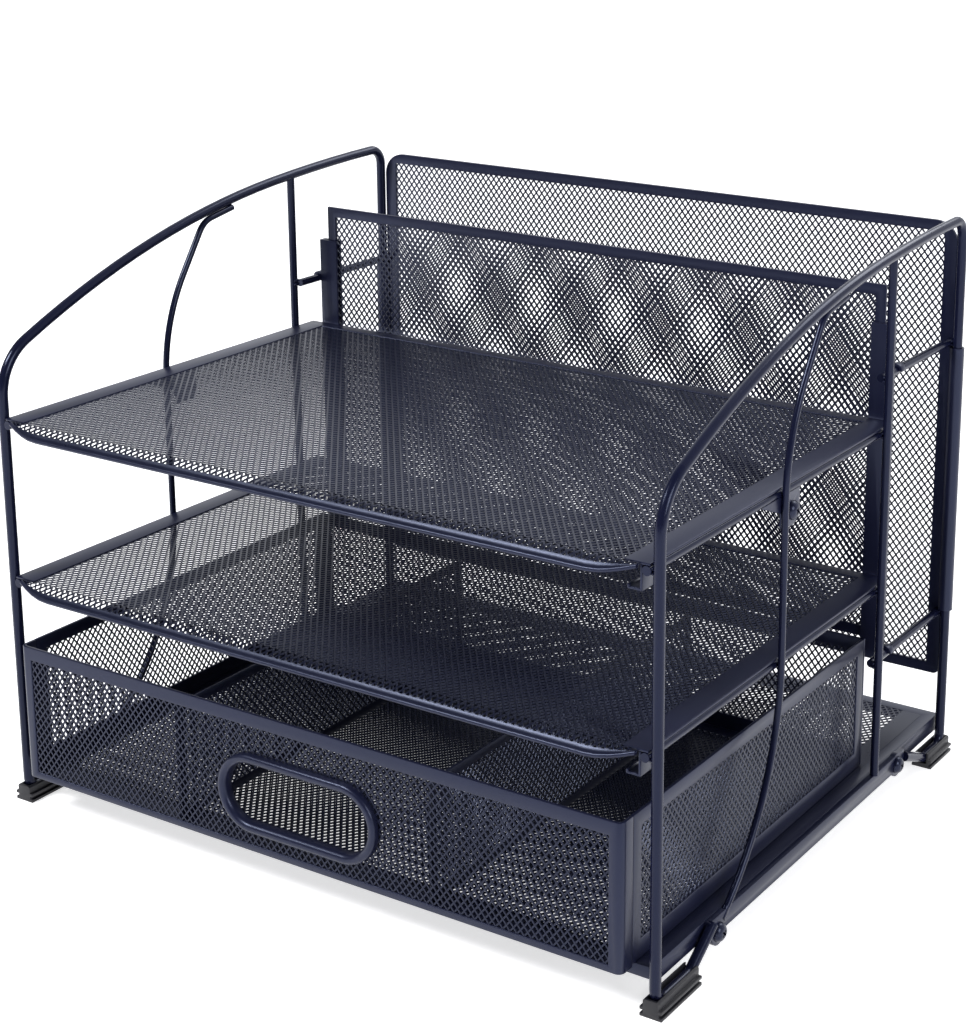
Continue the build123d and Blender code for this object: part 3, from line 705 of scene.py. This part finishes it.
class FallCurve:
    """The rounded drop at a tray's front: down along a quarter ellipse, fading at both ends."""

    STEPS = 32
    END_SHARE = 0.2  # share of the drop that is left at both ends

    def __init__(self, node, corner):
        size, centre = extent(node)
        low = centre - size / 2
        self.half, self.corner = size.x / 2, corner
        self.points = []
        for step in range(self.STEPS + 1):
            angle = math.radians(90) * step / self.STEPS
            across, down = size.y * math.sin(angle), size.z * (1 - math.cos(angle))
            self.points.append(Vector((low.y + size.y - across, low.z + size.z - down)))
        self.travels = [0.0]
        for first, second in zip(self.points, self.points[1:]):
            self.travels.append(self.travels[-1] + (second - first).length)
        self.length = self.travels[-1]

    def place(self, x, travel, depth=0.0):
        """The point at x, a travel down the drop, sunk into it by a depth."""
        travel = min(max(travel, 0.0), self.length)
        step = next(i for i in range(1, self.STEPS + 1) if self.travels[i] >= travel - 1e-9)
        first, second = self.points[step - 1], self.points[step]
        share = (travel - self.travels[step - 1]) / (self.travels[step] - self.travels[step - 1])
        way = (second - first).normalized()
        full = first.lerp(second, share) + Vector((-way.y, way.x)) * depth
        fade = min(max((self.half - abs(x)) / self.corner, 0.0), 1.0)
        fade = self.END_SHARE + (1 - self.END_SHARE) * math.sin(fade * math.radians(90))
        spot = self.points[0].lerp(full, fade)
        return Vector((x, spot.x, spot.y))


class ORGANIZER_OT_trays(bpy.types.Operator):
    """Build the trays' flat borders and their front falls, which end in a rolled edge"""

    bl_idname = "organizer.trays"
    bl_label = "Add Tray Borders"

    def execute(self, context):
        for level in LEVELS:
            self.border(level, context.scene.organizer_details)
            self.fall(level, context.scene)
        return {"FINISHED"}

    def border(self, level, details):
        """A flat frame open at the front, whose side bands rest on the rails."""
        node = f"{level}_tray_rim"
        size, centre = extent(node)
        low, high = centre - size / 2, centre + size / 2
        sheet_size, sheet_centre = extent(f"{level}_tray_mesh")
        floor = sheet_centre.z - sheet_size.z / 2
        columns = (low.x, low.x + details.tray_border, high.x - details.tray_border, high.x)
        rows = (low.y, high.y - 0.6 * details.tray_border, high.y)
        bm = bmesh.new()
        bmesh.ops.create_grid(bm, x_segments=3, y_segments=2, size=0.5)
        for vert in bm.verts:
            column, row = round((vert.co.x + 0.5) * 3), round((vert.co.y + 0.5) * 2)
            vert.co = (columns[column], rows[row], floor)
        front = Vector((low.y, 0))
        opening = min(bm.faces, key=lambda face: (face.calc_center_median().yx - front).length)
        bmesh.ops.delete(bm, geom=[opening], context="FACES")
        top = bmesh.ops.extrude_face_region(bm, geom=bm.faces[:])["geom"]
        lifted = [item for item in top if isinstance(item, bmesh.types.BMVert)]
        bmesh.ops.translate(bm, vec=(0, 0, details.tray_sheet), verts=lifted)
        bmesh.ops.recalc_face_normals(bm, faces=bm.faces)
        round_edges(bm, details.sheet_edge)
        smooth_by_angle(bm)
        if floor - low.z > details.tray_sheet:
            join(bm, self.tabs(node, floor, details))
        new_piece(f"{node}_flat", bm, "frame", "sheet", node)

    def tabs(self, node, floor, details):
        """What the CAD rim has under its floor: the tabs that the tray screws hold."""
        bm = merged_copy(node)
        under = floor - 0.05 * MM
        cut_away(bm, (0, 0, under), (0, 0, 1))
        for vert in bm.verts:
            if vert.co.z > under - 0.01 * MM:
                vert.co.z = floor + details.tray_sheet / 2
        round_edges(bm, details.sheet_edge)
        smooth_by_angle(bm)
        return bm

    def fall(self, level, scene):
        details = scene.organizer_details
        node = f"{level}_tray_front_mesh"
        curve = FallCurve(node, details.fall_corner)
        width = 2 * curve.half
        net_length = curve.length - details.fall_band
        bm = flat_net(width, net_length, scene.organizer_nets)
        # cuts that let the flat net bend, down the fall and towards its fading ends
        cuts = [(Vector((0, 1, 0)), net_length * part / 6) for part in range(-2, 3)]
        for sign in (-1, 1):
            for part in range(1, 5):
                distance = sign * (curve.half - details.fall_corner * part / 4)
                cuts.append((Vector((1, 0, 0)), distance))
        for outward, distance in cuts:
            geometry = bm.verts[:] + bm.edges[:] + bm.faces[:]
            bmesh.ops.bisect_plane(
                bm, geom=geometry, dist=TINY, plane_co=outward * distance, plane_no=outward
            )
        for vert in bm.verts:
            vert.co = curve.place(vert.co.x, vert.co.y + net_length / 2, vert.co.z + GRIP)
        band = bmesh.new()
        bmesh.ops.create_grid(band, x_segments=64, y_segments=8, size=0.5)
        length = details.fall_band + GRIP
        bmesh.ops.scale(band, vec=(width, length, 1), verts=band.verts)
        for vert in band.verts:
            vert.co = curve.place(vert.co.x, vert.co.y + curve.length - length / 2)
        bmesh.ops.recalc_face_normals(band, faces=band.faces)
        if sum(face.normal.y for face in band.faces) > 0:
            bmesh.ops.reverse_faces(band, faces=band.faces)
        bmesh.ops.solidify(band, geom=band.faces[:], thickness=FALL_SHEET)
        bmesh.ops.recalc_face_normals(band, faces=band.faces)
        smooth_by_angle(band, 60)
        join(bm, band)
        new_piece(f"{node}_net", bm, "frame", "mesh", node)

        roll = f"{level}_tray_rolled_edge"
        size, _ = extent(roll)
        radius = min(size.y, size.z) / 2
        bm = bmesh.new()
        stations, half = 64, curve.half - 0.5 * MM
        spots = [(2 * step / stations - 1) * half for step in range(stations + 1)]
        tube(bm, [curve.place(x, curve.length, 0.6 * radius) for x in spots], radius)
        smooth_by_angle(bm, 60)
        new_piece(f"{roll}_tube", bm, "frame", "sheet", roll)


class ORGANIZER_OT_sheets(bpy.types.Operator):
    """Round the edges of the folded sheet, the bars and the moulded feet"""

    bl_idname = "organizer.sheets"
    bl_label = "Ease the Edges"

    def execute(self, context):
        details = context.scene.organizer_details
        for entry in frame["record"]["subparts"]:
            node, slot = entry["node"], entry["material_slot"]
            if slot == "sheet" and "sleeve" not in node and not node.endswith(REBUILT):
                eased(node, details.sheet_edge, slot)
            elif slot == "foot":
                eased(node, details.foot_edge, slot)
            elif slot == "nut":
                eased(node, 0.4 * MM, slot)
        return {"FINISHED"}


class ORGANIZER_OT_handle(bpy.types.Operator):
    """Build the rolled ring round the drawer's hand hole"""

    bl_idname = "organizer.handle"
    bl_label = "Add Handle Ring"

    def execute(self, context):
        size, centre = extent("drawer_handle_ring")
        straight = (size.x - size.z) / 2
        outer = size.z / 2 - 0.7 * MM
        inner = outer - context.scene.organizer_details.ring_width
        front, back = size.y / 2, -size.y / 2
        # radius and height of each loop, from the back of the outer wall to the back of the inner
        profile = (
            (outer - 0.2 * MM, back),
            (outer, back + 1.0 * MM),
            (outer, front - 1.3 * MM),
            (outer - 0.35 * MM, front - 0.55 * MM),
            (outer - 1.0 * MM, front - 0.12 * MM),
            (outer - 1.7 * MM, front),
            (inner + 1.7 * MM, front - 0.08 * MM),
            (inner + 0.9 * MM, front - 0.45 * MM),
            (inner + 0.3 * MM, front - 1.2 * MM),
            (inner, front - 2.2 * MM),
            (inner, back + 0.3 * MM),
            (inner + 0.3 * MM, back),
        )
        bm = bmesh.new()
        segments = context.scene.organizer_details.ring_segments
        loops = [ring_of(bm, radius, height, segments, straight) for radius, height in profile]
        for first, second in zip(loops, loops[1:] + loops[:1]):
            bmesh.ops.bridge_loops(bm, edges=first + second)
        bmesh.ops.recalc_face_normals(bm, faces=bm.faces)
        smooth_by_angle(bm, 50)
        bmesh.ops.transform(bm, matrix=standing("X", centre), verts=bm.verts)
        new_piece("drawer_handle_rolled", bm, "drawer", "sheet", "drawer_handle_ring")
        return {"FINISHED"}


class ORGANIZER_OT_screws(bpy.types.Operator):
    """Build the dome-head screws with their cross recesses"""

    bl_idname = "organizer.screws"
    bl_label = "Add Screws"

    def execute(self, context):
        segments = context.scene.organizer_details.head_segments
        for group in ("tray", "base"):
            node = f"{group}_screws"
            size, centre = extent(node)
            low, high = centre - size / 2, centre + size / 2
            radius = HEAD_RADIUS
            spots = [(low.y + radius, low.z + radius)]
            if group == "base":
                spots.append((high.y - radius, high.z - radius))
            nut_size, nut_centre = extent(f"{group}_nuts")
            shank_end = nut_centre.x + nut_size.x / 2 - SHANK_IN_NUT
            bm = bmesh.new()
            for _, sign in SIDES:
                for y, z in spots:
                    head = self.screw(segments, radius, high.x - HEAD_HEIGHT, shank_end)
                    turn = Matrix.Rotation(math.radians(90 * sign), 4, "Y")
                    twist = Matrix.Rotation(math.radians(20 + 31 * sign), 4, "Z")
                    join(bm, head, Matrix.Translation((0, y, z)) @ turn @ twist)
            new_piece(f"{node}_domed", bm, "frame", "screw", node)
        return {"FINISHED"}

    def screw(self, segments, radius, seat, shank_end):
        """One screw along Z: a shank from shank_end to the seat and a dome on the seat."""
        bm = bmesh.new()
        profile = (
            (1.7 * MM, shank_end),
            (2.0 * MM, shank_end + 0.4 * MM),
            (2.0 * MM, seat),
            (radius, seat),
            (radius, seat + 0.5 * MM),
            (radius - 0.25 * MM, seat + 1.2 * MM),
            (radius - 0.8 * MM, seat + 1.9 * MM),
            (radius - 1.6 * MM, seat + 2.45 * MM),
            (radius - 2.3 * MM, seat + 2.7 * MM),
        )
        loops = [ring_of(bm, ring, height, segments) for ring, height in profile]
        for first, second in zip(loops, loops[1:]):
            bmesh.ops.bridge_loops(bm, edges=first + second)
        bmesh.ops.holes_fill(bm, edges=loops[0], sides=0)
        # the cross: a grid without its corners, sunk into the dome
        before = set(bm.faces)
        made = bmesh.ops.create_grid(bm, x_segments=3, y_segments=3, size=1.5 * MM)["verts"]
        for vert in made:
            for axis in (0, 1):
                if abs(vert.co[axis]) < 1.0 * MM:
                    vert.co[axis] = math.copysign(0.42 * MM, vert.co[axis])
            vert.co.z = seat + 2.72 * MM
        corners = [
            face
            for face in set(bm.faces) - before
            if min(abs(part) for part in face.calc_center_median().to_2d()) > 0.3 * MM
        ]
        bmesh.ops.delete(bm, geom=corners, context="FACES")
        cross = [face for face in bm.faces if face not in before]
        rim = [edge for face in cross for edge in face.edges if len(edge.link_faces) == 1]
        bmesh.ops.bridge_loops(bm, edges=loops[-1] + rim)
        pushed = bmesh.ops.extrude_face_region(bm, geom=cross)["geom"]
        deep = [item for item in pushed if isinstance(item, bmesh.types.BMVert)]
        bmesh.ops.translate(bm, vec=(0, 0, -1.3 * MM), verts=deep)
        bmesh.ops.delete(bm, geom=[face for face in cross if face.is_valid], context="FACES_ONLY")
        bmesh.ops.recalc_face_normals(bm, faces=bm.faces)
        smooth_by_angle(bm, 40)
        return bm


class ORGANIZER_OT_welds(bpy.types.Operator):
    """Add the small weld beads where rails and wires meet"""

    bl_idname = "organizer.welds"
    bl_label = "Add Welds"

    def execute(self, context):
        length = context.scene.organizer_details.weld_size
        for side, sign in SIDES:
            wire_size, wire_centre = extent(f"{side}_outer_wire")
            front = wire_centre.y - wire_size.y / 2 + wire_size.x / 2
            rear = wire_centre.y + wire_size.y / 2 - wire_size.x / 2
            middle = extent(f"{side}_upright_wire")[1].y
            contact = wire_centre.x - sign * wire_size.x / 2
            spots = []
            for name in RAILS:
                height = extent(f"{side}_{name}")[1].z
                ends = (middle, rear) if name.startswith("rear") else (front, middle)
                spots += [(contact, y, height) for y in ends]
            bm = bmesh.new()
            for spot in spots:
                for lean in (-1, 1):
                    bead = bmesh.ops.create_icosphere(bm, subdivisions=2, radius=1.0)["verts"]
                    bmesh.ops.scale(bm, vec=(0.9 * MM, 0.9 * MM, length), verts=bead)
                    turn = Matrix.Rotation(math.radians(90), 3, "X")
                    bmesh.ops.rotate(bm, cent=(0, 0, 0), matrix=turn, verts=bead)
                    at = Vector(spot) + Vector((0, 0, lean * 0.9 * MM))
                    bmesh.ops.translate(bm, vec=at, verts=bead)
            smooth_by_angle(bm, 80)
            new_piece(f"{side}_weld_beads", bm, "frame", "wire")
        return {"FINISHED"}


class ORGANIZER_OT_stage(bpy.types.Operator):
    """Set the floor, the soft lights and the camera"""

    bl_idname = "organizer.stage"
    bl_label = "Set the Stage"

    def execute(self, context):
        scene = context.scene
        settings = scene.organizer_stage
        bm = bmesh.new()
        bmesh.ops.create_grid(bm, x_segments=1, y_segments=1, size=8.0)
        data = bpy.data.meshes.new("studio_floor")
        bm.to_mesh(data)
        bm.free()
        floor = bpy.data.objects.new("studio_floor", data)
        scene.collection.objects.link(floor)
        surface = Finish("floor_paint")
        tone = surface.noise(400 * MM, detail=1.0)
        colour = settings.floor_colour
        surface.set(
            Base_Color=surface.mix(tone, shade(colour, 0.99), shade(colour, 1.01)),
            Roughness=0.85,
            Emission_Color=(1.0, 1.0, 1.0, 1.0),
            Emission_Strength=settings.table_glow,
        )
        data.materials.append(surface.material)

        world = bpy.data.worlds.new("studio_air")
        world.use_nodes = True
        nodes, links = world.node_tree.nodes, world.node_tree.links
        air = nodes["Background"]
        air.inputs["Color"].default_value = (0.93, 0.95, 1.0, 1.0)
        # a bright wall behind the object, and a dimmer room in front
        direction = nodes.new("ShaderNodeTexCoord")
        parts = nodes.new("ShaderNodeSeparateXYZ")
        blend = nodes.new("ShaderNodeMapRange")
        blend.interpolation_type = "SMOOTHSTEP"
        blend.inputs["From Min"].default_value = -0.1
        blend.inputs["From Max"].default_value = 0.7
        blend.inputs["To Min"].default_value = settings.room_light
        blend.inputs["To Max"].default_value = settings.wall_light
        links.new(direction.outputs["Generated"], parts.inputs[0])
        links.new(parts.outputs["Y"], blend.inputs["Value"])
        links.new(blend.outputs[0], air.inputs["Strength"])
        scene.world = world
        scene.view_settings.view_transform = "Standard"

        lights = (
            ("key_light", (-0.9, -1.3, 1.7), 0.6, settings.key_power),
            ("side_light", (1.7, -0.5, 0.9), 0.8, settings.fill_power),
            ("back_light", (0.3, 1.5, 1.6), 1.0, settings.fill_power),
        )
        for name, place, size, power in lights:
            lamp = bpy.data.lights.new(name, "AREA")
            lamp.energy, lamp.size = power, size
            holder = bpy.data.objects.new(name, lamp)
            holder.location = place
            aim = Vector((0, 0, 0.13)) - Vector(place)
            holder.rotation_euler = aim.to_track_quat("-Z", "Y").to_euler()
            scene.collection.objects.link(holder)

        camera = bpy.data.cameras.new("photo_camera")
        holder = bpy.data.objects.new("photo_camera", camera)
        camera.sensor_fit = "AUTO"
        camera.sensor_width = SENSOR
        (width, height), (across, down) = PHOTO_SIZE, PRINCIPAL_POINT
        camera.lens = FOCAL_PIXELS * SENSOR / height
        camera.shift_x = (width / 2 - across) / height
        camera.shift_y = (down - height / 2) / height
        camera.clip_start, camera.clip_end = 0.05, 30.0
        right = Vector(CAMERA_RIGHT)
        forward = Vector(CAMERA_FORWARD)
        up = right.cross(forward)
        turn = Matrix((right, up, -forward)).transposed()
        place = Vector(CAMERA_PLACE) * MM
        holder.matrix_world = Matrix.Translation(place) @ turn.to_4x4()
        scene.collection.objects.link(holder)
        scene.camera = holder
        return {"FINISHED"}


class ORGANIZER_PT_panel(bpy.types.Panel):
    """The organizer's settings and steps"""

    bl_idname = "ORGANIZER_PT_panel"
    bl_label = "Organizer"
    bl_space_type = "VIEW_3D"
    bl_region_type = "UI"
    bl_category = "Organizer"

    def draw(self, context):
        for title, name in SETTINGS:
            group = getattr(context.scene, name)
            box = self.layout.box()
            box.label(text=title)
            for key in group.bl_rna.properties.keys():
                if key not in ("rna_type", "name"):
                    box.prop(group, key)
        for step in STEPS:
            self.layout.operator(step.bl_idname)


SETTINGS = (
    ("Nets", "organizer_nets"),
    ("Coats", "organizer_coats"),
    ("Details", "organizer_details"),
    ("Stage", "organizer_stage"),
)
GROUPS = (
    OrganizerNetSettings,
    OrganizerCoatSettings,
    OrganizerDetailSettings,
    OrganizerStageSettings,
)
STEPS = (
    ORGANIZER_OT_coats,
    ORGANIZER_OT_sheets,
    ORGANIZER_OT_nets,
    ORGANIZER_OT_partitions,
    ORGANIZER_OT_trays,
    ORGANIZER_OT_handle,
    ORGANIZER_OT_screws,
    ORGANIZER_OT_welds,
    ORGANIZER_OT_stage,
)


def register():
    for group, (_, name) in zip(GROUPS, SETTINGS):
        bpy.utils.register_class(group)
        setattr(bpy.types.Scene, name, PointerProperty(type=group))
    for step in STEPS:
        bpy.utils.register_class(step)
    bpy.utils.register_class(ORGANIZER_PT_panel)


def unregister():
    bpy.utils.unregister_class(ORGANIZER_PT_panel)
    for step in reversed(STEPS):
        bpy.utils.unregister_class(step)
    for group, (_, name) in zip(GROUPS, SETTINGS):
        delattr(bpy.types.Scene, name)
        bpy.utils.unregister_class(group)


def main():
    register()
    for step in STEPS:
        family, action = step.bl_idname.split(".")
        getattr(getattr(bpy.ops, family), action)()


if __name__ == "__main__":
    main()
